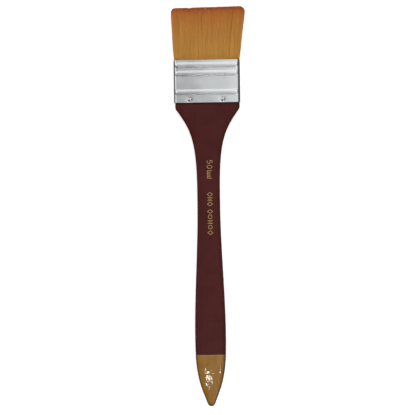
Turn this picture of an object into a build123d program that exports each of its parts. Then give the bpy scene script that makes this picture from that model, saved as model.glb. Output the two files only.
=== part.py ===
"""Flat wash brush, 50 mm wide, lying on its back: filaments, tin ferrule, nails and beaver-tail handle."""
import math
import os

from build123d import *

os.makedirs("parts", exist_ok=True)

# --- Driving dimensions (mm). X runs across the width, +Y towards the filament tips, +Z out of the front.
HANDLE_LENGTH = 231.0        # ferrule foot to nose
FERRULE_LENGTH = 32.4
BRISTLE_LENGTH = 40.6        # ferrule mouth to filament tips
LENGTH = HANDLE_LENGTH + FERRULE_LENGTH + BRISTLE_LENGTH

FERRULE_WIDTH = 50.0
FERRULE_THICKNESS = 8.8
FERRULE_CORNER = 2.2
SHEET = 0.4                  # tin plate
BEAD_WIDTH = 4.8             # pressed into the two wide faces
BEAD_HEIGHT = 0.6
BEAD_FLANK = 1.9             # width of the S-shaped slope at each side
BEAD_SINK = 0.05             # its ends finish this deep in the narrow sides
BEADS_BELOW_MOUTH = (4.0, 10.3, 24.6)
LAP_WIDTH = 4.0              # lap seam on the -X narrow side

TENON_DEPTH = 14.0           # how far the handle goes into the ferrule
GLUE_GAP = 0.1               # round the tenon and the filament roots
COAT = 0.2                   # lacquer thickness
DIP_LENGTH = 39.3            # varnished nose
DIP_PROUD = 0.08             # varnish stands this much above the lacquer

NAIL_ABOVE_FOOT = 2.3
NAILS_FRONT_X = (-13.1, 11.9)
NAILS_BACK_X = (-12.5, 12.5)
NAIL_HEAD_RADIUS = 1.5
NAIL_HEAD_HEIGHT = 0.5
NAIL_SHANK_RADIUS = 0.5
NAIL_SHANK_LENGTH = 3.4

EPOXY_THICKNESS = 6.0
EPOXY_GAP = 0.02
BUTT_RECESS = 1.5            # depth that the filament butts sink into the epoxy
BUTT_RIM = 1.0               # epoxy left standing round the butts
ROOT_BELOW_MOUTH = 1.0

HINGE_ABOVE_MOUTH = 1.5      # the line about which the tuft bends
TUFT_HEEL_RADIUS = 3.7       # rounded lower end of the tuft, centred on that line
HEEL_GAP = 0.3               # running clearance round the heel
TUFT_HEEL_HALF_WIDTH = 23.9
TUFT_TOP_HALF_WIDTH = 27.7
TUFT_CORNER = 3.2            # rounded corners of the tuft, seen from the front
TUFT_EDGE = 1.4              # half thickness at the chisel edge
FLARE_HANDLES = ((25.1, 7.0), (27.2, 22.0))     # of the side's curve: half width, height above the mouth
SWELL_HANDLES = ((10.0, 4.75), (24.0, 4.0))     # of the face's curve: height above the heel, half thickness

# --- Places worked out from them
NOSE_Y = -LENGTH / 2
FOOT_Y = NOSE_Y + HANDLE_LENGTH
MOUTH_Y = FOOT_Y + FERRULE_LENGTH
TIPS_Y = LENGTH / 2
DIP_Y = NOSE_Y + DIP_LENGTH
TENON_Y = FOOT_Y + TENON_DEPTH
EPOXY_Y = TENON_Y + EPOXY_THICKNESS
HINGE_Y = MOUTH_Y + HINGE_ABOVE_MOUTH
MID_Z = FERRULE_THICKNESS / 2 + BEAD_HEIGHT

BORE_HALF_WIDTH = FERRULE_WIDTH / 2 - SHEET
BORE_HALF_THICKNESS = FERRULE_THICKNESS / 2 - SHEET
BORE_CORNER = FERRULE_CORNER - SHEET

# --- Handle shape: (distance from the ferrule foot, half width, change of half width per mm)
SHOULDER_END = 3.6
SHOULDER_HALF_WIDTH = BORE_HALF_WIDTH - GLUE_GAP
PLANFORM = (
    (SHOULDER_END, SHOULDER_HALF_WIDTH, 0.0),
    (7.5, 22.4, -0.71),
    (21.2, 14.4, -0.41),
    (44.0, 9.5, -0.085),
    (77.0, 8.65, 0.0),
    (178.0, 11.75, 0.0),
    (204.0, 10.3, -0.15),
    (219.0, 6.55, -0.37),
)
# --- and (distance from the ferrule foot, half thickness, change of half thickness per mm)
SHOULDER_HALF_THICKNESS = BORE_HALF_THICKNESS - GLUE_GAP
BELLY_CLEAR = 0.05           # the belly lies this far above the plane under the ferrule's beads
SIDE_PROFILE = (
    (SHOULDER_END, SHOULDER_HALF_THICKNESS, 0.0),
    (70.0, SHOULDER_HALF_THICKNESS, 0.0),
    (172.0, MID_Z - BELLY_CLEAR, 0.0),
    (206.0, 4.55, -0.035),
)
PLAN_NOSE = (2.9, 0.38)      # nose radius, and slope of the flanks where it begins
SIDE_NOSE = (2.5, 0.16)
NOSE_TRIM = 0.05             # the loft's last section, this far from the very nose
STATIONS = 36
QUARTER_STEPS = 6
FLATNESS = 2.2               # how square a section is, per unit of width over thickness
EDGE_ROUND = 2.4             # power of the rounding through the thickness


def hermite(distance, keys):
    """Smooth curve through the keys (place, value, slope), read at one place."""
    for (x0, v0, s0), (x1, v1, s1) in zip(keys, keys[1:]):
        if distance <= x1:
            span = x1 - x0
            u = max(0.0, (distance - x0) / span)
            rise = v0 * (1 - 3 * u**2 + 2 * u**3) + v1 * (3 * u**2 - 2 * u**3)
            return rise + span * (s0 * (u - 2 * u**2 + u**3) + s1 * (u**3 - u**2))
    raise ValueError(f"{distance} is past the last key")


def half_size(distance, keys, nose, inset):
    """Half width or half thickness of the handle at a distance from the ferrule foot, less an inset."""
    nose_radius, flank = nose
    centre = HANDLE_LENGTH - nose_radius
    radius = nose_radius - inset
    meeting = centre + radius * math.sin(math.atan(flank))
    if distance > meeting:
        return math.sqrt(radius**2 - (distance - centre) ** 2)
    drawn_in = [(place, value - inset, slope) for place, value, slope in keys]
    return hermite(distance, drawn_in + [(meeting, radius * math.cos(math.atan(flank)), -flank)])


def quarter_edge(half_width, half_thickness):
    """One quarter of a section of the handle, from its narrow edge to the middle of its flat face."""
    flat_power = FLATNESS * half_width / half_thickness
    steps = [i / QUARTER_STEPS for i in range(QUARTER_STEPS + 1)]
    points = []
    for step in steps:
        across = math.cos(step * math.pi / 2)
        height = (1 - across**flat_power) ** (1 / EDGE_ROUND)
        points.append(Vector(half_width * across, half_thickness * height))
    ends = [Vector(0, half_thickness) * math.pi / 2, Vector(-half_width, 0) * math.pi / 2]
    return Edge.make_spline(points, tangents=ends, parameters=steps, scale=False)


def handle_section(distance, inset):
    """Sketch of the handle's section at a distance below the ferrule foot, drawn in by an inset."""
    half_width = half_size(distance, PLANFORM, PLAN_NOSE, inset)
    half_thickness = half_size(distance, SIDE_PROFILE, SIDE_NOSE, inset)
    plane = Plane(origin=(0, FOOT_Y - distance, MID_Z), x_dir=(1, 0, 0), z_dir=(0, -1, 0))
    with BuildSketch(plane) as section:
        with BuildLine():
            add(quarter_edge(half_width, half_thickness))
            mirror(about=Plane.YZ)
            mirror(about=Plane.XZ)
        make_face()
    return section.sketch


def handle_body(inset):
    """Handle from the tenon's end to the nose, drawn in by an inset all round."""
    length = HANDLE_LENGTH - inset - NOSE_TRIM - SHOULDER_END
    with BuildPart() as body:
        extrude(handle_section(SHOULDER_END, inset), amount=SHOULDER_END + TENON_DEPTH, dir=(0, 1, 0))
        for i in range(STATIONS + 1):
            share = (1 - math.cos(math.pi * i / STATIONS)) / 2
            add(handle_section(SHOULDER_END + share * length, inset))
        loft()
    return body.part


def bead_section(outset):
    """Sketch of a bead cut across, at an outset from the ferrule's face: base in the sheet, S-shaped flanks."""
    foot = (-BEAD_WIDTH / 2, FERRULE_THICKNESS / 2 + outset)
    base = foot[1] - SHEET / 2
    waist = (foot[0] + BEAD_FLANK / 2, foot[1] + BEAD_HEIGHT / 2)
    crest = (foot[0] + BEAD_FLANK, foot[1] + BEAD_HEIGHT)
    with BuildSketch(Plane.YZ) as section:
        with BuildLine():
            Polyline((0, base), (foot[0], base), foot)
            TangentArc(foot, waist, tangent=(1, 0))
            TangentArc(crest, waist, tangent=(-1, 0))
            Line(crest, (0, crest[1]))
            mirror(about=Plane.YZ)
        make_face()
    return section.sketch


def beads(outset):
    """Blocks under the surfaces of the beads on both faces, whose ends bend down and sink into the corners."""
    section = bead_section(outset)
    end_x = FERRULE_WIDTH / 2 - FERRULE_CORNER - BEAD_HEIGHT - BEAD_SINK
    end_z = FERRULE_THICKNESS / 2 - FERRULE_CORNER
    with BuildPart() as bead:
        extrude(section, amount=end_x)
        revolve(Pos(end_x, 0, 0) * section, axis=Axis((end_x, 0, end_z), (0, 1, 0)), revolution_arc=90)
        mirror(about=Plane.YZ)
    heights = [MOUTH_Y - below for below in BEADS_BELOW_MOUTH]
    return [Pos(0, y, MID_Z) * Rot(0, turn, 0) * bead.part for y in heights for turn in (0, 180)]


def bore_block(low_y, high_y, gap):
    """Block that fills the ferrule bore between two heights, with a gap to its walls."""
    plane = Plane(origin=(0, low_y, MID_Z), x_dir=(1, 0, 0), z_dir=(0, 1, 0))
    width = 2 * (BORE_HALF_WIDTH - gap)
    thickness = 2 * (BORE_HALF_THICKNESS - gap)
    with BuildPart() as block:
        with BuildSketch(plane):
            RectangleRounded(width, thickness, min(BORE_CORNER, thickness / 2 - gap))
        extrude(amount=high_y - low_y)
    return block.part


def heel_bar(radius):
    """Round bar along the line about which the tuft bends."""
    with BuildPart() as bar:
        with BuildSketch(Plane(origin=(0, HINGE_Y, MID_Z), x_dir=(0, 1, 0), z_dir=(1, 0, 0))):
            Circle(radius)
        extrude(amount=FERRULE_WIDTH / 2, both=True)
    return bar.part


def finish(piece, name):
    """Label a piece and write it out."""
    piece.part.label = name
    export_step(piece.part, f"parts/{name}.step")


# --- Nails: one shape about +Z with its head's base at the origin, set into the ferrule's two faces
dome_radius = (NAIL_HEAD_RADIUS**2 + NAIL_HEAD_HEIGHT**2) / (2 * NAIL_HEAD_HEIGHT)
with BuildPart() as nail:
    with BuildSketch(Plane.XZ):
        with BuildLine():
            Polyline(
                (0, NAIL_HEAD_HEIGHT),
                (0, -NAIL_SHANK_LENGTH),
                (NAIL_SHANK_RADIUS, -NAIL_SHANK_LENGTH),
                (NAIL_SHANK_RADIUS, 0),
                (NAIL_HEAD_RADIUS, 0),
            )
            RadiusArc((NAIL_HEAD_RADIUS, 0), (0, NAIL_HEAD_HEIGHT), -dome_radius)
        make_face()
    revolve(axis=Axis.Z)

nail_y = FOOT_Y + NAIL_ABOVE_FOOT
front_face = Plane(origin=(0, nail_y, MID_Z + FERRULE_THICKNESS / 2), x_dir=(1, 0, 0), z_dir=(0, 0, 1))
back_face = Plane(origin=(0, nail_y, MID_Z - FERRULE_THICKNESS / 2), x_dir=(1, 0, 0), z_dir=(0, 0, -1))

with BuildPart() as nails_front:
    add([front_face * Pos(x, 0, 0) * nail.part for x in NAILS_FRONT_X])
finish(nails_front, "nails_front")

with BuildPart() as nails_back:
    add([back_face * Pos(x, 0, 0) * nail.part for x in NAILS_BACK_X])
finish(nails_back, "nails_back")

# --- Handle: bare wood, the lacquer over its upper part, and the thicker clear varnish on its nose
dip_plane = Plane(origin=(0, DIP_Y, 0), z_dir=(0, 1, 0))

with BuildPart() as handle_wood:
    add(handle_body(COAT))
    add([nails_front.part, nails_back.part], mode=Mode.SUBTRACT)
finish(handle_wood, "handle_wood")

with BuildPart() as maroon_lacquer:
    add(handle_body(0))
    add(handle_body(COAT), mode=Mode.SUBTRACT)
    split(bisect_by=dip_plane, keep=Keep.TOP)
    add([nails_front.part, nails_back.part], mode=Mode.SUBTRACT)
finish(maroon_lacquer, "maroon_lacquer")

with BuildPart() as tip_varnish:
    add(handle_body(-DIP_PROUD))
    add(handle_body(COAT), mode=Mode.SUBTRACT)
    split(bisect_by=dip_plane, keep=Keep.BOTTOM)
finish(tip_varnish, "tip_varnish")

# --- Ferrule: a tube of tin plate, the beads pressed into its faces, and the lap of its seam
raised = beads(0)
hollows = beads(-SHEET)
with BuildPart() as ferrule:
    with BuildSketch(Plane(origin=(0, FOOT_Y, MID_Z), x_dir=(1, 0, 0), z_dir=(0, 1, 0))):
        RectangleRounded(FERRULE_WIDTH, FERRULE_THICKNESS, FERRULE_CORNER)
        with Locations((-FERRULE_WIDTH / 2, 0)):
            Rectangle(2 * SHEET, LAP_WIDTH)
    extrude(amount=FERRULE_LENGTH)
    add(raised)
    add(bore_block(FOOT_Y, MOUTH_Y, 0), mode=Mode.SUBTRACT)
    add(hollows, mode=Mode.SUBTRACT)
    add([nails_front.part, nails_back.part], mode=Mode.SUBTRACT)
finish(ferrule, "ferrule")

# --- Epoxy plug above the tenon, with a tray that the filament butts sink into
butts = bore_block(EPOXY_Y - BUTT_RECESS, EPOXY_Y, BUTT_RIM)
with BuildPart() as epoxy_plug:
    add(bore_block(TENON_Y, EPOXY_Y, EPOXY_GAP))
    add(butts, mode=Mode.SUBTRACT)
finish(epoxy_plug, "epoxy_plug")

# --- Filaments held in the ferrule, hollowed at the top for the heel of the tuft
with BuildPart() as filament_roots:
    add(bore_block(EPOXY_Y, MOUTH_Y - ROOT_BELOW_MOUTH, GLUE_GAP))
    add(butts)
    add(heel_bar(TUFT_HEEL_RADIUS + HEEL_GAP), mode=Mode.SUBTRACT)
finish(filament_roots, "filament_roots")

# --- Filaments that bend: the flared outline seen from the front, cut to the chisel seen from the side
reach = TIPS_Y - HINGE_Y
neck = (TUFT_HEEL_HALF_WIDTH, HINGE_ABOVE_MOUTH)
shoulder = (TUFT_TOP_HALF_WIDTH, BRISTLE_LENGTH - TUFT_CORNER)
top_end = (TUFT_TOP_HALF_WIDTH - TUFT_CORNER, BRISTLE_LENGTH)
heel = (0, TUFT_HEEL_RADIUS)
edge = (reach - TUFT_EDGE, TUFT_EDGE)

with BuildPart() as filament_tuft:
    with BuildSketch(Plane(origin=(0, MOUTH_Y, 0))):
        with BuildLine():
            heel_y = HINGE_ABOVE_MOUTH - TUFT_HEEL_RADIUS
            Polyline((0, heel_y), (TUFT_HEEL_HALF_WIDTH, heel_y), neck)
            Bezier(neck, *FLARE_HANDLES, shoulder)
            RadiusArc(shoulder, top_end, -TUFT_CORNER)
            Line(top_end, (0, BRISTLE_LENGTH))
            mirror(about=Plane.YZ)
        make_face()
    extrude(amount=2 * MID_Z)
    with BuildSketch(Plane(origin=(0, HINGE_Y, MID_Z), x_dir=(0, 1, 0), z_dir=(1, 0, 0))):
        with BuildLine():
            RadiusArc(heel, (-TUFT_HEEL_RADIUS, 0), -TUFT_HEEL_RADIUS)
            Bezier(heel, *SWELL_HANDLES, edge)
            RadiusArc(edge, (reach, 0), TUFT_EDGE)
            mirror(about=Plane.XZ)
        make_face()
    extrude(amount=FERRULE_WIDTH, both=True, mode=Mode.INTERSECT)
finish(filament_tuft, "filament_tuft")
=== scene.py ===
import math

import bpy
import numpy as np
from mathutils import Matrix, Vector
from mathutils.bvhtree import BVHTree


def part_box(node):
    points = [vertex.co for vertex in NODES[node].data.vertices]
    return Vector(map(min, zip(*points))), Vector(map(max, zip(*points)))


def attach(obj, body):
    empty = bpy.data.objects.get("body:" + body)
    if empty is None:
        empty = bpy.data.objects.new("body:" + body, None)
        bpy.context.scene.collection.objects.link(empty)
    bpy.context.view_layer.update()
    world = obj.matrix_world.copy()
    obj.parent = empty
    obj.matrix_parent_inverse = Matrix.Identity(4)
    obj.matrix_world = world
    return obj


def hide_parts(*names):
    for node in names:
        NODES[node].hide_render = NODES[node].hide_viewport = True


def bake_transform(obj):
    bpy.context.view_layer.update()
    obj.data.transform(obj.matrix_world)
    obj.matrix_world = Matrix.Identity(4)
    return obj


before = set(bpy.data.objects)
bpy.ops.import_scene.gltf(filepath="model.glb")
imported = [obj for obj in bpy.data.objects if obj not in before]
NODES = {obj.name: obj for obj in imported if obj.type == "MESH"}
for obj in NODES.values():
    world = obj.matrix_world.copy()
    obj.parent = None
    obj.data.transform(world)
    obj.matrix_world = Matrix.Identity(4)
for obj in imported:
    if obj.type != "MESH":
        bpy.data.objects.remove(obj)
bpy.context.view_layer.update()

MM = 0.001
RNG = np.random.default_rng(50)
BAKE_MAP = "OFBake"  # the name given to the filaments' own UV map

# Where the finishes change along the brush, in metres, read from the CAD nodes.
FERRULE_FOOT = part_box("ferrule")[0].y
DIP_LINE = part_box("maroon_lacquer")[0].y
NOSE_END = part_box("tip_varnish")[0].y

# The tuft, in mm. A distance s along it counts from the ferrule's mouth. u and v run from -1 to 1
# across its width and its thickness.
MOUTH_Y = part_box("ferrule")[1].y / MM
TIPS_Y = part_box("filament_tuft")[1].y / MM
MID_Z = sum(corner.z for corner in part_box("filament_tuft")) / 2 / MM
TUFT_LENGTH = TIPS_Y - MOUTH_Y
TUFT_ROOT = -4.0
HALF_WIDTH = ((-4, 24.0), (0, 24.5), (1.5, 25.15), (7.4, 25.7),
              (15, 26.2), (22.6, 26.9), (30.2, 27.55), (40.6, 27.9))
HALF_DEPTH = ((-4, 3.7), (0, 3.85), (2.5, 4.05), (10, 4.2), (20, 3.92), (30, 3.02), (40.6, 1.35))
TIP_HALF_WIDTH = HALF_WIDTH[-1][1]
SECTION_POWER = 7.0  # a superellipse: the higher, the squarer
ROUND_HALF_WIDTH, ROUND_HALF_DEPTH = 26, 4  # round figures for lengths along the outline
WIDE_FACE = 0.6  # a filament whose |v| is above this lies on a wide face
LEAN = 1.5  # how far the tips sit towards +X
LEAN_POWER = 1.3

# The trimmed edge, in mm.
SLANT = 0.8
CORNERS = (3.0, 4.2)  # radii at the -X and +X ends
NOTCH_X, NOTCH_DEPTH, NOTCH_REACH = -12.8, 0.5, 1.1

# The filaments, in mm.
HAIR_RADIUS = 0.1
HAIR_SIDES = 4
OUTER_LAYERS = (("filaments_outer_a", 1150, 0.02, 0.16), ("filaments_outer_b", 1150, 0.12, 0.34))
OUTER_RINGS = 8
INNER_COUNT, INNER_RINGS, INNER_REACH, INNER_INSET = 1500, 5, 8.0, 0.2
RING_SPACING = 0.85  # a power: below 1 the rings come closer together towards the tips

# How much the filaments differ: their lengths and places in mm, the rest as shares of 1.
OWN_SHORT, OWN_SHADE = 0.12, 0.03
ODD_SHARE, ODD_SHORT = 0.05, (0.4, 1.5)  # a few end clearly short of the trimmed edge
EDGE_MARGIN = 0.12  # makes up for the average filament's shortness
WANDER_X, WANDER_Z = 0.10, 0.06
HAIR_SIZES = (0.85, 1.15)
CLUMP_PITCH, CLUMP_GATHER, CLUMP_SHORT, CLUMP_SHADE = 1.5, 0.14, 0.05, 0.012
CLUMP_TABLE = 4096  # clump numbers repeat after this many
CLUMP_PLACE_SEED, CLUMP_LOOK_SEED = 7, 11
CORE_INSET, CORE_BELOW_EDGE = 0.26, 1.7
CORE_GROOVE, CORE_DRIFT, CORE_SHADE = 0.05, 0.03, 0.05

# The gold foil, in mm.
FOIL_X = 1.1
FOIL_HEIGHT = 3.9
FOIL_STROKE = 0.42
FOIL_STEP = 0.35
FOIL_PROUD, FOIL_SUNK = 0.018, 0.03

# The tin's dents round the nails, in metres: radii where they are deepest and where they end.
NAIL_DENT = (0.0013, 0.0031)


# ---------------------------------------------------------------- node helpers

def material(name):
    """A new material, its node tree and its Principled shader."""
    made = bpy.data.materials.new(name)
    made.use_nodes = True
    return made, made.node_tree, made.node_tree.nodes["Principled BSDF"]


def feed(tree, node, inputs):
    """Gives a node its inputs, each a value or a socket to link."""
    for key, value in dict(inputs).items():
        if isinstance(value, bpy.types.NodeSocket):
            tree.links.new(value, node.inputs[key])
        else:
            node.inputs[key].default_value = value


def add(tree, kind, inputs=(), **settings):
    """A new shader node with its settings and its inputs."""
    made = tree.nodes.new("ShaderNode" + kind)
    for key, value in settings.items():
        setattr(made, key, value)
    feed(tree, made, inputs)
    return made


def math_node(tree, operation, a, b=0.0):
    return add(tree, "Math", {0: a, 1: b}, operation=operation).outputs[0]


def vector_math(tree, operation, a, b, output=0):
    return add(tree, "VectorMath", {0: a, 1: b}, operation=operation).outputs[output]


def rescale(tree, value, low, high, to_low=0.0, to_high=1.0):
    """A smooth step from to_low, at low, to to_high, at high."""
    inputs = {0: value, 1: low, 2: high, 3: to_low, 4: to_high}
    return add(tree, "MapRange", inputs, interpolation_type="SMOOTHSTEP").outputs[0]


def mix(tree, share, a, b, blend="MIX"):
    return add(tree, "Mix", {0: share, 6: a, 7: b}, data_type="RGBA", blend_type=blend).outputs[2]


def place(tree, scale=(1, 1, 1), attribute=None):
    """Rest coordinates in metres, the object's own or a stored attribute's, stretched by scale."""
    if attribute:
        at = add(tree, "Attribute", attribute_name=attribute).outputs["Vector"]
    else:
        at = add(tree, "TexCoord").outputs["Object"]
    return add(tree, "Mapping", {"Vector": at, "Scale": scale}).outputs[0]


def part_of(tree, vector, axis):
    return add(tree, "SeparateXYZ", {0: vector}).outputs[axis]


def noise(tree, at, scale=1.0, detail=3.0, rough=0.55, warp=0.0):
    inputs = {"Vector": at, "Scale": scale, "Detail": detail, "Roughness": rough,
              "Distortion": warp}
    return add(tree, "TexNoise", inputs).outputs["Fac"]


def bump(tree, height, distance, normal=None):
    """A bump whose height of 1 stands distance metres proud, on top of another one if given."""
    inputs = {"Height": height, "Distance": distance, "Strength": 1.0}
    if normal is not None:
        inputs["Normal"] = normal
    return add(tree, "Bump", inputs).outputs[0]


def colour(*rgb):
    return (*rgb, 1.0)


# ------------------------------------------------------------------- materials

def lacquer_material():
    """Satin maroon paint, thin enough for the wood's grain to show through as fine ridges."""
    made, tree, shader = material("maroon_lacquer_paint")
    grain = noise(tree, place(tree, (1500, 55, 1500)), detail=4, rough=0.6, warp=0.3)
    pores = noise(tree, place(tree, (5200, 260, 5200)), detail=2, rough=0.5)
    mottle = noise(tree, place(tree), 85, detail=3)
    peel = noise(tree, place(tree), 900, detail=2)
    buffed = noise(tree, place(tree), 240, detail=5, rough=0.65)
    y = part_of(tree, place(tree), "Y")

    base = mix(tree, rescale(tree, mottle, 0.3, 0.7),
               colour(0.055, 0.0092, 0.0078), colour(0.067, 0.0116, 0.0098))
    ridges = rescale(tree, grain, 0.35, 0.75, 0.0, 0.35)
    base = mix(tree, ridges, base, colour(0.081, 0.0148, 0.0118))
    pits = rescale(tree, pores, 0.62, 0.75, 0.0, 0.35)
    base = mix(tree, pits, base, colour(0.030, 0.0060, 0.0054))
    # Painted shade: a dark band on the paint just under the ferrule's foot, where the tin's edge
    # shades it.
    wander = math_node(tree, "MULTIPLY", noise(tree, place(tree), 700), 0.0012)
    painted_foot_shade = rescale(tree, math_node(tree, "ADD", y, wander),
                   FERRULE_FOOT - 0.0014, FERRULE_FOOT - 0.0002, 0.0, 0.75)
    base = mix(tree, painted_foot_shade, base, colour(0.018, 0.0070, 0.0070))
    rim = rescale(tree, y, DIP_LINE + 0.0010, DIP_LINE, 0.0, 0.6)
    base = mix(tree, rim, base, colour(0.038, 0.0066, 0.0050))

    normal = bump(tree, grain, 0.000018)
    normal = bump(tree, pores, 0.000010, normal)
    normal = bump(tree, peel, 0.000012, normal)
    feed(tree, shader, {"Base Color": base, "Normal": normal, "Specular IOR Level": 0.12,
                        "Roughness": rescale(tree, buffed, 0.3, 0.7, 0.40, 0.54)})
    return made


def wood_layers(tree):
    """Pale hardwood's colour, with slanted growth rings and short dark pores, and its fibres."""
    slanted = add(tree, "Mapping", {"Vector": add(tree, "TexCoord").outputs["Object"],
                                    "Location": (0.017, 0.0, 0.018),
                                    "Rotation": (0.045, 0.0, 0.03),
                                    "Scale": (1.0, 0.16, 1.0)}).outputs[0]
    bend = noise(tree, place(tree, (60, 14, 60)), detail=2)
    across = add(tree, "CombineXYZ", {0: bend, 2: bend}).outputs[0]
    wave = {"Vector": vector_math(tree, "MULTIPLY", slanted, across), "Scale": 110.0,
            "Distortion": 2.6, "Detail": 3.0, "Detail Scale": 1.5}
    rings = add(tree, "TexWave", wave, wave_type="RINGS", rings_direction="Y").outputs["Fac"]
    fibres = noise(tree, place(tree, (2600, 120, 2600)), detail=4, rough=0.65)
    pores = noise(tree, place(tree, (4200, 420, 4200)), detail=2)
    blotch = noise(tree, place(tree, (170, 80, 170)), detail=4, rough=0.6)

    base = mix(tree, rings, colour(0.278, 0.134, 0.018), colour(0.240, 0.108, 0.012))
    base = mix(tree, rescale(tree, blotch, 0.51, 0.68, 0.0, 0.8), base,
               colour(0.258, 0.098, 0.007))
    base = mix(tree, rescale(tree, fibres, 0.35, 0.75, 0.0, 0.4), base,
               colour(0.320, 0.166, 0.029))
    base = mix(tree, rescale(tree, pores, 0.64, 0.74, 0.0, 0.6), base,
               colour(0.130, 0.058, 0.014))
    return base, fibres


def bare_wood_material():
    """The shaped wood inside the paint, varnish and ferrule, seen when they are taken off."""
    made, tree, shader = material("hardwood_bare")
    base, fibres = wood_layers(tree)
    feed(tree, shader, {"Base Color": base, "Normal": bump(tree, fibres, 0.00004),
                        "Roughness": rescale(tree, fibres, 0.3, 0.7, 0.55, 0.75)})
    return made


def varnish_material():
    """The dipped end: wood under a thick clear coat that sagged a little before it set."""
    made, tree, shader = material("clear_varnish_on_wood")
    base, fibres = wood_layers(tree)
    y = part_of(tree, place(tree), "Y")

    # The paint's feathered edge, painted shade on the rounded narrow edges, and darker towards the
    # nose.
    wander = math_node(tree, "MULTIPLY", noise(tree, place(tree), 380), 0.0009)
    rim = rescale(tree, math_node(tree, "ADD", y, wander),
                  DIP_LINE - 0.0007, DIP_LINE - 0.0001, 0.0, 0.35)
    base = mix(tree, rim, base, colour(0.34, 0.19, 0.10))
    facing = part_of(tree, add(tree, "TexCoord").outputs["Normal"], "Z")
    painted_edge_shade = rescale(tree, math_node(tree, "ABSOLUTE", facing), 0.97, 0.50, 0.0, 0.95)
    base = mix(tree, painted_edge_shade, base, colour(0.075, 0.038, 0.012))
    nose = rescale(tree, y, NOSE_END + 0.004, NOSE_END, 0.0, 0.55)
    base = mix(tree, nose, base, colour(0.090, 0.042, 0.016))

    sags = noise(tree, place(tree, (430, 290, 430)), detail=1, rough=0.4)
    specks = noise(tree, place(tree), 1500, detail=1)
    coat = bump(tree, sags, 0.00015)
    coat = bump(tree, rescale(tree, specks, 0.72, 0.80), 0.00002, coat)
    feed(tree, shader, {"Base Color": base, "Normal": bump(tree, fibres, 0.000012),
                        "Roughness": rescale(tree, fibres, 0.3, 0.7, 0.42, 0.58),
                        "Specular IOR Level": 0.1, "Coat Weight": 1.0, "Coat Roughness": 0.03,
                        "Coat IOR": 1.5, "Coat Normal": coat})
    return made


def nail_centres(name):
    """The middle of each of a node's two nails, in metres."""
    points = np.array([v.co for v in NODES[name].data.vertices])
    middle = points[:, 0].mean()
    halves = [points[points[:, 0] < middle], points[points[:, 0] >= middle]]
    return [(half.min(0) + half.max(0)) / 2 for half in halves]


def nail_dents(tree):
    """1 on the flat tin, falling to 0 in the dent that each nail was driven into."""
    dents = None
    for centre in nail_centres("nails_front") + nail_centres("nails_back"):
        offset = vector_math(tree, "SUBTRACT", place(tree), tuple(centre))
        flattened = vector_math(tree, "MULTIPLY", offset, (1, 1, 0.25))  # depth counts for little
        distance = add(tree, "VectorMath", {0: flattened}, operation="LENGTH").outputs["Value"]
        dent = rescale(tree, distance, *NAIL_DENT)
        dents = dent if dents is None else math_node(tree, "MULTIPLY", dents, dent)
    return dents


def tin_material():
    """Bright rolled tin plate: fine lines round the ferrule, soft dents, scratches and smudges."""
    made, tree, shader = material("tin_plate_bright")
    lines = noise(tree, place(tree, (45, 5200, 1800)), detail=4, rough=0.7)
    smudge = noise(tree, place(tree), 130, detail=4, rough=0.6)
    wave = noise(tree, place(tree, (42, 55, 42)), detail=1)
    scratch = noise(tree, place(tree, (6500, 150, 900)), detail=2, rough=0.4)
    dents = nail_dents(tree)

    base = mix(tree, smudge, colour(0.74, 0.755, 0.75), colour(0.84, 0.855, 0.86))
    # Painted shade: the tin is darkened in each nail's dent, round the head.
    painted_nail_shade = rescale(tree, dents, 0.35, 0.0, 0.0, 0.7)
    base = mix(tree, painted_nail_shade, base, colour(0.16, 0.15, 0.14))
    rough = math_node(tree, "ADD", rescale(tree, smudge, 0.3, 0.7, 0.25, 0.33),
                      rescale(tree, lines, 0.3, 0.7, 0.0, 0.05))

    # The wide faces are crowned a little, as rolled sheet is, so that their reflection shades off.
    x = part_of(tree, place(tree), "X")
    crown = math_node(tree, "MULTIPLY", math_node(tree, "MULTIPLY", x, x), -1.2)
    normal = bump(tree, crown, 1.0)
    normal = bump(tree, wave, 0.0006, normal)
    normal = bump(tree, dents, 0.00014, normal)
    normal = bump(tree, lines, 0.0000010, normal)
    normal = bump(tree, rescale(tree, scratch, 0.70, 0.76), 0.0000012, normal)
    feed(tree, shader, {"Base Color": base, "Metallic": 1.0, "Roughness": rough, "Normal": normal})
    return made


def nail_material():
    """Steel nail heads, darker than the tin and uneven from the hammer."""
    made, tree, shader = material("nail_steel_domed")
    dull = noise(tree, place(tree), 1300, detail=2)
    hammer = noise(tree, place(tree), 2600, detail=1)
    base = mix(tree, dull, colour(0.44, 0.44, 0.43), colour(0.60, 0.60, 0.59))
    feed(tree, shader, {"Base Color": base, "Metallic": 1.0,
                        "Roughness": rescale(tree, dull, 0.3, 0.7, 0.16, 0.28),
                        "Normal": bump(tree, hammer, 0.00006)})
    return made


def epoxy_material():
    """Cloudy amber glue round the filaments' butts."""
    made, tree, shader = material("epoxy_amber")
    cloud = noise(tree, place(tree), 300, detail=3)
    base = mix(tree, cloud, colour(0.30, 0.15, 0.04), colour(0.42, 0.24, 0.08))
    feed(tree, shader, {"Base Color": base, "Normal": bump(tree, cloud, 0.0001),
                        "Roughness": rescale(tree, cloud, 0.3, 0.7, 0.2, 0.4)})
    return made


def foil_material():
    """Gold hot-stamped foil, worn through in spots to the paint under it."""
    made, tree, shader = material("gold_foil_stamp")
    wear = noise(tree, place(tree), 2300, detail=4, rough=0.7)
    base = mix(tree, wear, colour(0.50, 0.31, 0.13), colour(0.66, 0.44, 0.20))
    base = mix(tree, rescale(tree, wear, 0.54, 0.66), base, colour(0.12, 0.035, 0.022))
    feed(tree, shader, {"Base Color": base, "Metallic": 0.85,
                        "Roughness": rescale(tree, wear, 0.3, 0.7, 0.30, 0.50),
                        "Normal": bump(tree, wear, 0.00001)})
    return made


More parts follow.
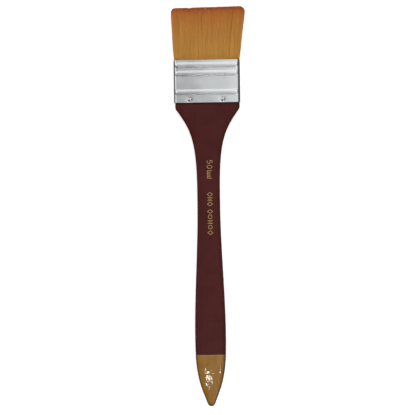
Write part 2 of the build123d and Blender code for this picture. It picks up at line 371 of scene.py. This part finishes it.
def filament_material(name, darken=1.0):
    """Golden nylon, redder at the tips.

    The attribute along runs from 0 at the mouth to 1 at the tip, and tint differs by filament.
    """
    made, tree, shader = material(name)
    along = add(tree, "Attribute", attribute_name="along").outputs["Fac"]
    tint = add(tree, "Attribute", attribute_name="tint").outputs["Fac"]
    ramp = add(tree, "ValToRGB", {0: along})
    stops = ((0.0, (0.55, 0.265, 0.048)), (0.30, (0.55, 0.255, 0.045)),
             (0.62, (0.55, 0.232, 0.037)), (0.83, (0.55, 0.198, 0.028)),
             (0.94, (0.52, 0.136, 0.020)), (1.0, (0.42, 0.096, 0.016)))
    elements = ramp.color_ramp.elements
    while len(elements) < len(stops):
        elements.new(0.5)
    for element, (at, rgb) in zip(elements, stops):
        element.position = at
        element.color = colour(*(darken * c for c in rgb))
    streak = noise(tree, place(tree, (1500, 60, 1500), "rest"), detail=3, rough=0.6)
    shade = math_node(tree, "MULTIPLY", tint, rescale(tree, streak, 0.3, 0.7, 0.93, 1.07))
    grey = add(tree, "CombineColor", {0: shade, 1: shade, 2: shade}).outputs[0]
    feed(tree, shader, {"Base Color": mix(tree, 1.0, ramp.outputs["Color"], grey, "MULTIPLY"),
                        "Roughness": rescale(tree, streak, 0.3, 0.7, 0.34, 0.48),
                        "Specular IOR Level": 0.35})
    return made


def floor_material():
    """Near-white paper that glows a little, so that it photographs as plain white."""
    made, tree, shader = material("floor_pale")
    mottle = noise(tree, place(tree), 9, detail=3)
    base = mix(tree, mottle, colour(0.88, 0.88, 0.88), colour(0.92, 0.92, 0.92))
    feed(tree, shader, {"Base Color": base, "Roughness": 0.9, "Specular IOR Level": 0.1,
                        "Emission Color": colour(1, 1, 1), "Emission Strength": 0.50})
    return made


def backdrop_material():
    made, tree, shader = material("backdrop_pale")
    haze = noise(tree, place(tree), 0.3, detail=1)
    feed(tree, shader, {"Base Color": colour(0, 0, 0), "Specular IOR Level": 0.0,
                        "Emission Color": colour(1, 1, 1),
                        "Emission Strength": rescale(tree, haze, 0.0, 1.0, 0.98, 1.04)})
    return made


# -------------------------------------------------------------- the tuft's shape

def smooth_curve(keys, order):
    """A polynomial through a few (distance, value) keys."""
    return np.polynomial.Polynomial.fit([k[0] for k in keys], [k[1] for k in keys], order)


WIDTH = smooth_curve(HALF_WIDTH, 5)
DEPTH = smooth_curve(HALF_DEPTH, 4)


def smoothstep(t):
    t = np.clip(t, 0, 1)
    return t * t * (3 - 2 * t)


def tip_height(x):
    """How far from the mouth the trimmed edge lies at x, with its slant, notch and corners."""
    edge = TUFT_LENGTH - SLANT * (TIP_HALF_WIDTH + LEAN - x) / (2 * TIP_HALF_WIDTH)
    edge = edge - NOTCH_DEPTH * np.exp(-(((x - NOTCH_X) / NOTCH_REACH) ** 2))
    corner = np.where(x < LEAN, *CORNERS)
    into = np.clip(np.abs(x - LEAN) - (TIP_HALF_WIDTH - corner), 0, corner)
    return edge - (corner - np.sqrt(corner**2 - into**2))


def spot(u, v, s, inset=0.0):
    """The x and z, in mm, of (u, v) of the section that is s from the mouth."""
    s = np.asarray(s, float)
    x = LEAN * np.clip(s / TUFT_LENGTH, 0, None) ** LEAN_POWER + u * (WIDTH(s) - inset)
    z = MID_Z + v * (DEPTH(s) - inset)
    return x, z


def outline(way_round):
    """The (u, v) of points on the section's edge, given as fractions of the way round it."""
    a = np.linspace(0, 2 * np.pi, 4001)
    u = np.sign(np.cos(a)) * np.abs(np.cos(a)) ** (2 / SECTION_POWER)
    v = np.sign(np.sin(a)) * np.abs(np.sin(a)) ** (2 / SECTION_POWER)
    run = np.hypot(np.diff(u) * ROUND_HALF_WIDTH, np.diff(v) * ROUND_HALF_DEPTH)
    way = np.concatenate([[0], np.cumsum(run)])
    way /= way[-1]
    at = np.atleast_1d(way_round) % 1.0
    return np.interp(at, way, u), np.interp(at, way, v)


def clump_pull(u, v):
    """How far each filament is, in mm along its face, from its clump's centre, and which clump."""
    wide = u * ROUND_HALF_WIDTH * np.sign(v) + 200
    narrow = v * ROUND_HALF_DEPTH * np.sign(u) + 300
    at = np.where(np.abs(v) > WIDE_FACE, wide, narrow)  # wide and narrow faces share no clump
    cell = np.floor(at / CLUMP_PITCH).astype(int)
    jitter = np.random.default_rng(CLUMP_PLACE_SEED).uniform(0.2, 0.8, CLUMP_TABLE)
    centre = (cell + jitter[cell % CLUMP_TABLE]) * CLUMP_PITCH
    return centre - at, cell


# -------------------------------------------------------------------- filaments

def mesh_piece(name, vertices, faces, made, attributes=(), corners=None):
    """A smooth object from vertices in mm, with point attributes and UVs for the faces' corners."""
    mesh = bpy.data.meshes.new(name)
    mesh.from_pydata((np.asarray(vertices) * MM).tolist(), [], faces)
    if corners is not None:
        mesh.uv_layers.new(name=BAKE_MAP).uv.foreach_set("vector", corners)
    mesh.validate()
    for key, values in dict(attributes).items():
        stored = mesh.attributes.new(key, "FLOAT", "POINT")
        stored.data.foreach_set("value", np.asarray(values, np.float32))
    rest = mesh.attributes.new("rest", "FLOAT_VECTOR", "POINT")
    rest.data.foreach_set("vector", (np.asarray(vertices, np.float32) * MM).ravel())
    mesh.polygons.foreach_set("use_smooth", [True] * len(mesh.polygons))
    mesh.materials.append(made)
    piece = bpy.data.objects.new(name, mesh)
    bpy.context.scene.collection.objects.link(piece)
    return piece


def tubes(x, y, z, radius):
    """Closed tapered tubes, in mm, along centrelines given as arrays of filament by ring."""
    count, rings = x.shape
    side = np.arange(HAIR_SIDES)
    turn = RNG.uniform(0, 2 * np.pi, count)[:, None, None] + 2 * np.pi * side / HAIR_SIDES
    points = np.empty((count, rings * HAIR_SIDES + 1, 3))
    body = points[:, :-1].reshape(count, rings, HAIR_SIDES, 3)
    body[..., 0] = x[..., None] + radius[..., None] * np.cos(turn)
    body[..., 1] = y[..., None]
    body[..., 2] = z[..., None] + radius[..., None] * np.sin(turn)
    points[:, :-1] = body.reshape(count, rings * HAIR_SIDES, 3)
    points[:, -1, 0], points[:, -1, 2] = x[:, -1], z[:, -1]
    points[:, -1, 1] = y[:, -1] + 1.5 * radius[:, -1]

    after = (side + 1) % HAIR_SIDES
    walls = []
    for ring in range(rings - 1):
        low, high = ring * HAIR_SIDES, (ring + 1) * HAIR_SIDES
        walls += [[low + a, high + a, high + b, low + b] for a, b in zip(side, after)]
    last, apex = (rings - 1) * HAIR_SIDES, rings * HAIR_SIDES
    ends = [[last + a, apex, last + b] for a, b in zip(side, after)]
    first = (apex + 1) * np.arange(count)[:, None]
    faces = (np.array(walls)[None] + first[..., None]).reshape(-1, 4).tolist()
    faces += (np.array(ends)[None] + first[..., None]).reshape(-1, 3).tolist()
    faces += (side[None] + first).tolist()
    return points.reshape(-1, 3), faces


def strip_map(count, rings):
    """The UVs of the corners that tubes() makes.

    Each filament is an upright strip beside the next one, so the dye's fade runs up the map.
    """
    filament = np.arange(count)[:, None, None]
    ring = np.arange(rings - 1)[None, :, None]
    side = np.arange(HAIR_SIDES)[None, None, :]
    left = (filament + side / HAIR_SIDES) / count
    right = (filament + (side + 1) / HAIR_SIDES) / count
    low, high = ring / rings, (ring + 1) / rings
    last, middle = (rings - 1) / rings, (left + right) / 2
    walls = np.broadcast_arrays(left, low, left, high, right, high, right, low)
    ends = np.broadcast_arrays(left, last, middle, 1.0, right, last)
    butts = np.broadcast_arrays(left, 0.0)
    corners = [np.stack(part, axis=-1).ravel() for part in (walls, ends, butts)]
    return np.concatenate(corners).astype(np.float32)


def hair_piece(name, made, u, v, inset, start, rings):
    """One piece of many filaments, each at its own (u, v), from start to the trimmed edge."""
    count = len(u)
    pull, clump = clump_pull(u, v)
    clump_look = np.random.default_rng(CLUMP_LOOK_SEED)
    clump_shade = clump_look.normal(0, CLUMP_SHADE, CLUMP_TABLE)[clump % CLUMP_TABLE]
    clump_short = np.abs(clump_look.normal(0, CLUMP_SHORT, CLUMP_TABLE))[clump % CLUMP_TABLE]

    top_x = spot(u, v, TUFT_LENGTH, inset)[0]
    short = np.abs(RNG.normal(0, OWN_SHORT, count))
    short = short + np.where(RNG.random(count) < ODD_SHARE, RNG.uniform(*ODD_SHORT, count), 0)
    top = tip_height(top_x) - short - clump_short + EDGE_MARGIN
    s = start + (top - start)[:, None] * (np.linspace(0, 1, rings) ** RING_SPACING)[None]

    # Towards the tips they gather into clumps and wander a little.
    x, z = spot(u[:, None], v[:, None], s, inset[:, None])
    grow = smoothstep(s / TUFT_LENGTH)
    on_face = np.where(np.abs(v) > WIDE_FACE, np.sign(v), 0)[:, None]
    x = x + on_face * pull[:, None] * grow * CLUMP_GATHER
    x = x + RNG.normal(0, WANDER_X, count)[:, None] * grow
    z = z + RNG.normal(0, WANDER_Z, count)[:, None] * grow

    t = np.clip(s / TUFT_LENGTH, 0, 1)
    size = RNG.uniform(*HAIR_SIZES, count)[:, None]
    taper = (1 - 0.15 * t) * (1 - 0.62 * smoothstep((t - 0.78) / 0.22))
    points, faces = tubes(x, MOUTH_Y + s, z, HAIR_RADIUS * size * taper)

    tint = 1 + np.clip(RNG.normal(0, OWN_SHADE, count) + clump_shade, -0.3, 0.3)
    along = np.repeat(np.clip(s / tip_height(top_x)[:, None], 0, 1), HAIR_SIDES, axis=1)
    along = np.concatenate([along, np.ones((count, 1))], axis=1).ravel()
    looks = {"along": along, "tint": np.repeat(tint, rings * HAIR_SIDES + 1)}
    return mesh_piece(name, points, faces, made, looks, strip_map(count, rings))


def core_piece(made, columns=560, rings=26):
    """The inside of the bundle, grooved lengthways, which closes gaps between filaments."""
    u, v = outline(np.arange(columns) / columns)
    groove = RNG.normal(0, CORE_GROOVE, columns)
    drift = RNG.normal(0, CORE_DRIFT, (rings, columns))
    points, along = [], []
    top = tip_height(spot(u, v, TUFT_LENGTH, 0.5)[0]) - CORE_BELOW_EDGE
    for ring in range(rings):
        s = TUFT_ROOT + (top - TUFT_ROOT) * ring / (rings - 1)
        x, z = spot(u, v, s, CORE_INSET)
        lift = groove + drift[ring]
        points.append(np.stack([x + lift * u, MOUTH_Y + s, z + lift * v], axis=1))
        along.append(np.clip(s / TUFT_LENGTH, 0, 1))
    points, along = np.concatenate(points), np.concatenate(along)

    faces = []
    for ring in range(rings - 1):
        low, high = ring * columns, (ring + 1) * columns
        for a in range(columns):
            b = (a + 1) % columns
            faces.append([low + a, low + b, high + b, high + a])
    # Each end is closed by strips from one wide face to the other.
    last = (rings - 1) * columns
    pairs = [(a, a + 1, (columns - a - 2) % columns, (columns - a - 1) % columns)
             for a in range(columns // 2 - 1)]
    faces += [[last + i for i in pair] for pair in pairs]
    faces += [list(reversed(pair)) for pair in pairs]
    tint = np.tile(1 + RNG.normal(0, CORE_SHADE, columns), rings)
    return mesh_piece("filament_core", points, faces, made, {"along": along, "tint": tint})


def build_filaments():
    """The tuft and its roots: a packed core, two outer layers and the loose ends at the edge."""
    hair = filament_material("golden_nylon_filament")
    # The core's copy of the nylon is a little darker: painted shade in the gaps between filaments.
    packed = filament_material("golden_nylon_shaded_core", 0.96)
    core = core_piece(packed)
    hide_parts("filament_tuft", "filament_roots")
    pieces = [core]
    for name, count, low, high in OUTER_LAYERS:
        u, v = outline((np.arange(count) + RNG.uniform(-0.5, 0.5, count)) / count)
        inset = RNG.uniform(low, high, count)
        pieces.append(hair_piece(name, hair, u, v, inset, TUFT_ROOT, OUTER_RINGS))

    u, v = RNG.uniform(-1, 1, INNER_COUNT), RNG.uniform(-1, 1, INNER_COUNT)
    reach = (np.abs(u) ** SECTION_POWER + np.abs(v) ** SECTION_POWER) ** (1 / SECTION_POWER)
    u, v = u / np.maximum(1, reach), v / np.maximum(1, reach)
    inset = np.full(INNER_COUNT, INNER_INSET)
    pieces.append(hair_piece("filaments_inner", hair, u, v, inset,
                             TUFT_LENGTH - INNER_REACH, INNER_RINGS))

    for piece in pieces:
        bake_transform(piece)


# ------------------------------------------------------------------ foil marks
# A mark is its lines and whether they are closed. A point (u, v) has u from 0 to 1 in the reading
# direction, down the handle, and v from 0 to 1 towards +X.

def arc(cx, cy, rx, ry, start, stop, steps=14):
    """Points of part of an ellipse, between angles in degrees, anticlockwise."""
    angles = np.radians(np.linspace(start, stop, steps))
    return [(cx + rx * math.cos(a), cy + ry * math.sin(a)) for a in angles]


def oval(rx, ry):
    """A closed oval, whose last point would repeat the first."""
    return [arc(0.5, 0.5, rx, ry, 0, 360, 29)[:-1]], True


def digit_five():
    flag = [(0.88, 1.0), (0.18, 1.0), (0.10, 0.55)]
    return [flag + arc(0.48, 0.33, 0.44, 0.30, 128, -140)], False


def digit_zero():
    return oval(0.42, 0.48)


def ring_mark():
    return oval(0.46, 0.36)


def lozenge():
    return [[(0.5, 0.0), (1.0, 0.5), (0.5, 1.0), (0.0, 0.5)]], True


def bars():
    """Two long bars with a short one between them."""
    ends = ((0.12, 0.0, 1.0), (0.5, 0.18, 0.82), (0.88, 0.0, 1.0))
    return [[(u, low), (u, high)] for u, low, high in ends], False


def gauge():
    """A short ruler: a base line and six ticks."""
    ticks = [[(0.01 + 0.196 * i, 0.14), (0.01 + 0.196 * i, 0.98 if i % 5 == 0 else 0.70)]
             for i in range(6)]
    return [[(-0.035, 0.07), (1.02, 0.07)]] + ticks, False


# Each mark with the y of its first edge and its length in the reading direction, in mm.
SIZE_NUMBER = ((digit_five, 35.2, 2.9), (digit_zero, 31.5, 3.0), (gauge, 27.2, 5.9))
ORNAMENT = ((lozenge, 10.6, 3.0), (bars, 6.9, 2.9), (lozenge, 3.3, 3.0), (lozenge, -2.4, 3.0),
            (ring_mark, -6.3, 3.2), (bars, -10.4, 2.9), (ring_mark, -14.2, 3.2),
            (lozenge, -18.5, 3.0))


def subdivided(points, closed):
    """The same line with no step longer than FOIL_STEP."""
    ends = points[1:] + points[:1] if closed else points[1:]
    out = []
    for a, b in zip(points, ends):
        parts = max(1, math.ceil(math.dist(a, b) / FOIL_STEP))
        out += [tuple(np.array(a) + (np.array(b) - np.array(a)) * i / parts) for i in range(parts)]
    return out if closed else out + [points[-1]]


def normals(steps):
    """The unit vector to the left of each step of a line."""
    unit = steps / np.linalg.norm(steps, axis=1, keepdims=True)
    return np.stack([-unit[:, 1], unit[:, 0]], axis=1)


def stroke(points, closed, surface):
    """A thin closed strip of foil along a line, pressed onto the surface: vertices and faces."""
    line = np.array(subdivided(points, closed))
    ahead = np.roll(line, -1, axis=0) - line
    behind = line - np.roll(line, 1, axis=0)
    if not closed:
        ahead[-1], behind[0] = behind[-1], ahead[0]
    left = normals(behind)
    mitre = left + normals(ahead)
    mitre /= np.maximum((mitre * left).sum(1, keepdims=True), 0.6)  # no long spikes at sharp turns
    vertices = []
    for side in (0.5, -0.5):
        for x, y in line + mitre * FOIL_STROKE * side:
            top = surface(x, y)
            vertices += [(x, y, top + FOIL_PROUD), (x, y, top - FOIL_SUNK)]

    count = len(line)

    def corners(i):
        """Left top, left bottom, right bottom and right top at one point of the line."""
        return 2 * i, 2 * i + 1, 2 * (count + i) + 1, 2 * (count + i)

    faces = []
    for i in range(count if closed else count - 1):
        lt, lb, rb, rt = corners(i)
        next_lt, next_lb, next_rb, next_rt = corners((i + 1) % count)
        faces += [[lt, rt, next_rt, next_lt], [next_lb, next_rb, rb, lb],
                  [lb, lt, next_lt, next_lb], [rt, rb, next_rb, next_rt]]
    if not closed:
        lt, lb, rb, rt = corners(count - 1)
        faces += [list(corners(0)), [lb, lt, rt, rb]]
    return vertices, faces


def foil_piece(name, made, marks, surface):
    """One piece of foil made of several marks."""
    vertices, faces = [], []
    for mark, first_y, length in marks:
        lines, closed = mark()
        for line in lines:
            points = [(FOIL_X + (v - 0.5) * FOIL_HEIGHT, first_y - u * length) for u, v in line]
            more, sides = stroke(points, closed, surface)
            faces += [[len(vertices) + i for i in face] for face in sides]
            vertices += more
    piece = mesh_piece(name, vertices, faces, made)
    piece.data.polygons.foreach_set("use_smooth", [False] * len(piece.data.polygons))
    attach(piece, "handle")


def build_foil():
    """The size number and the ornament, stamped on the lacquer's front."""
    mesh = NODES["maroon_lacquer"].data
    lacquer = BVHTree.FromPolygons([v.co for v in mesh.vertices],
                                   [tuple(p.vertices) for p in mesh.polygons])

    def surface(x, y):
        """The lacquer's height, in mm, found from above it."""
        above = Vector((x * MM, y * MM, 0.05))
        return lacquer.ray_cast(above, Vector((0, 0, -1)))[0].z / MM

    foil = foil_material()
    foil_piece("foil_size_number", foil, SIZE_NUMBER, surface)
    foil_piece("foil_ornament", foil, ORNAMENT, surface)


# ----------------------------------------------------------------------- stage
# In metres.

VIEW_TILT, VIEW_ROLL = math.radians(2.5), math.radians(0.80)
VIEW_DISTANCE, VIEW_WIDTH = 1.6, 0.3159
VIEW_CENTRE = Vector((-0.00100, -0.00084, 0.005))

FLOOR_HALF = 6
WALL_RADIUS, WALL_SIDES, WALL_FOOT, WALL_TOP = 5.9, 96, -0.01, 5.0

# Name, place, aim, size and radiance. The two small windows make the highlights on the varnish.
SOFTBOXES = (("window_left", (-0.030, -0.190, 0.30), (0, -0.13, 0), (0.014, 0.034), 38.0),
             ("window_right", (0.158, -0.188, 0.28), (0, -0.13, 0), (0.014, 0.014), 90.0),
             ("fill", (0, 0, 1.8), (0, 0, 0), (1.2, 1.2), 1.35))

# Direction, cosines of the angles where the panel fades out and is full, and brightness.
SKY_PANELS = (((0.05, 0.80, 0.60), 0.66, 0.95, 0.62), ((0.56, 0.52, 0.65), 0.975, 0.993, 3.0),
              ((-0.80, 0.40, 0.45), 0.80, 0.97, 1.5), ((0.52, -0.70, 0.48), 0.84, 0.97, 0.9),
              ((0.32, 0.05, 0.95), 0.93, 0.985, 0.26))


def add_camera():
    """The photograph's view: almost square on to the front, and a long way off."""
    camera = bpy.data.objects.new("camera", bpy.data.cameras.new("camera"))
    camera.data.lens = camera.data.sensor_width * VIEW_DISTANCE / VIEW_WIDTH
    camera.data.clip_start, camera.data.clip_end = 0.05, 20
    back = Vector((math.sin(VIEW_TILT), 0, math.cos(VIEW_TILT)))
    camera.location = VIEW_CENTRE + back * VIEW_DISTANCE
    z = back.normalized()
    up = Vector((math.sin(VIEW_ROLL), math.cos(VIEW_ROLL), 0))
    y = (up - up.dot(z) * z).normalized()
    camera.rotation_mode = "QUATERNION"
    camera.rotation_quaternion = Matrix((y.cross(z), y, z)).transposed().to_quaternion()
    bpy.context.scene.collection.objects.link(camera)
    bpy.context.scene.camera = camera


def add_softbox(name, place_at, aim, size, radiance):
    """A rectangular light that the camera doesn't see."""
    light = bpy.data.lights.new(name, "AREA")
    light.shape = "RECTANGLE"
    light.size, light.size_y = size
    light.energy = radiance * math.pi * size[0] * size[1]
    softbox = bpy.data.objects.new(name, light)
    softbox.location = place_at
    softbox.rotation_mode = "QUATERNION"
    softbox.rotation_quaternion = (Vector(place_at) - Vector(aim)).to_track_quat("Z", "Y")
    softbox.visible_camera = False
    bpy.context.scene.collection.objects.link(softbox)
    return softbox


def stage_piece(name, points, faces, made):
    mesh = bpy.data.meshes.new(name)
    mesh.from_pydata(points, [], faces)
    mesh.materials.append(made)
    piece = bpy.data.objects.new(name, mesh)
    bpy.context.scene.collection.objects.link(piece)
    return piece


def add_floor():
    far = FLOOR_HALF
    points = [(-far, -far, 0), (far, -far, 0), (far, far, 0), (-far, far, 0)]
    floor = stage_piece("floor", points, [(0, 1, 2, 3)], floor_material())
    floor.visible_glossy = False


def add_backdrop():
    """A pale wall far round the floor, seen only by the camera."""
    turn = [2 * math.pi * i / WALL_SIDES for i in range(WALL_SIDES)]
    ring = [(WALL_RADIUS * math.cos(a), WALL_RADIUS * math.sin(a)) for a in turn]
    points = [(x, y, height) for height in (WALL_FOOT, WALL_TOP) for x, y in ring]
    faces = []
    for i in range(WALL_SIDES):
        j = (i + 1) % WALL_SIDES
        faces.append((i, j, WALL_SIDES + j, WALL_SIDES + i))
    wall = stage_piece("backdrop", points, faces, backdrop_material())
    wall.visible_diffuse = wall.visible_glossy = wall.visible_shadow = False


def add_world():
    """A tent of soft light: dim at the horizon, brighter overhead and towards +X, with panels."""
    world = bpy.data.worlds.new("studio")
    world.use_nodes = True
    tree = world.node_tree
    direction = add(tree, "TexCoord").outputs["Generated"]
    height = vector_math(tree, "DOT_PRODUCT", direction, (0.0, 0.22, 0.97), "Value")
    side = part_of(tree, direction, "X")
    glow = math_node(tree, "MULTIPLY", rescale(tree, height, 0.50, 0.98, 0.06, 0.56),
                     rescale(tree, side, -0.30, 0.25, 0.57, 1.36))
    for towards, faint, full, strength in SKY_PANELS:
        towards = tuple(Vector(towards).normalized())
        nearness = vector_math(tree, "DOT_PRODUCT", direction, towards, "Value")
        glow = math_node(tree, "ADD", glow, rescale(tree, nearness, faint, full, 0.0, strength))
    feed(tree, tree.nodes["Background"], {"Strength": glow, "Color": colour(0.98, 0.99, 1.0)})
    bpy.context.scene.world = world


def build_stage():
    add_floor()
    add_backdrop()
    add_world()
    bpy.context.scene.view_settings.view_transform = "Standard"
    softboxes = [add_softbox(*softbox) for softbox in SOFTBOXES]
    softboxes[-1].visible_glossy = False  # the fill lights without a reflection of its own


# ------------------------------------------------------------------ the object

def finish_nodes():
    """Gives the CAD nodes that stay visible their finishes."""
    steel = nail_material()
    finishes = {"maroon_lacquer": lacquer_material(), "tip_varnish": varnish_material(),
                "handle_wood": bare_wood_material(), "ferrule": tin_material(),
                "nails_front": steel, "nails_back": steel, "epoxy_plug": epoxy_material()}
    for name, made in finishes.items():
        for slot in NODES[name].material_slots:
            slot.material = made


add_camera()
build_stage()
finish_nodes()
build_filaments()
build_foil()
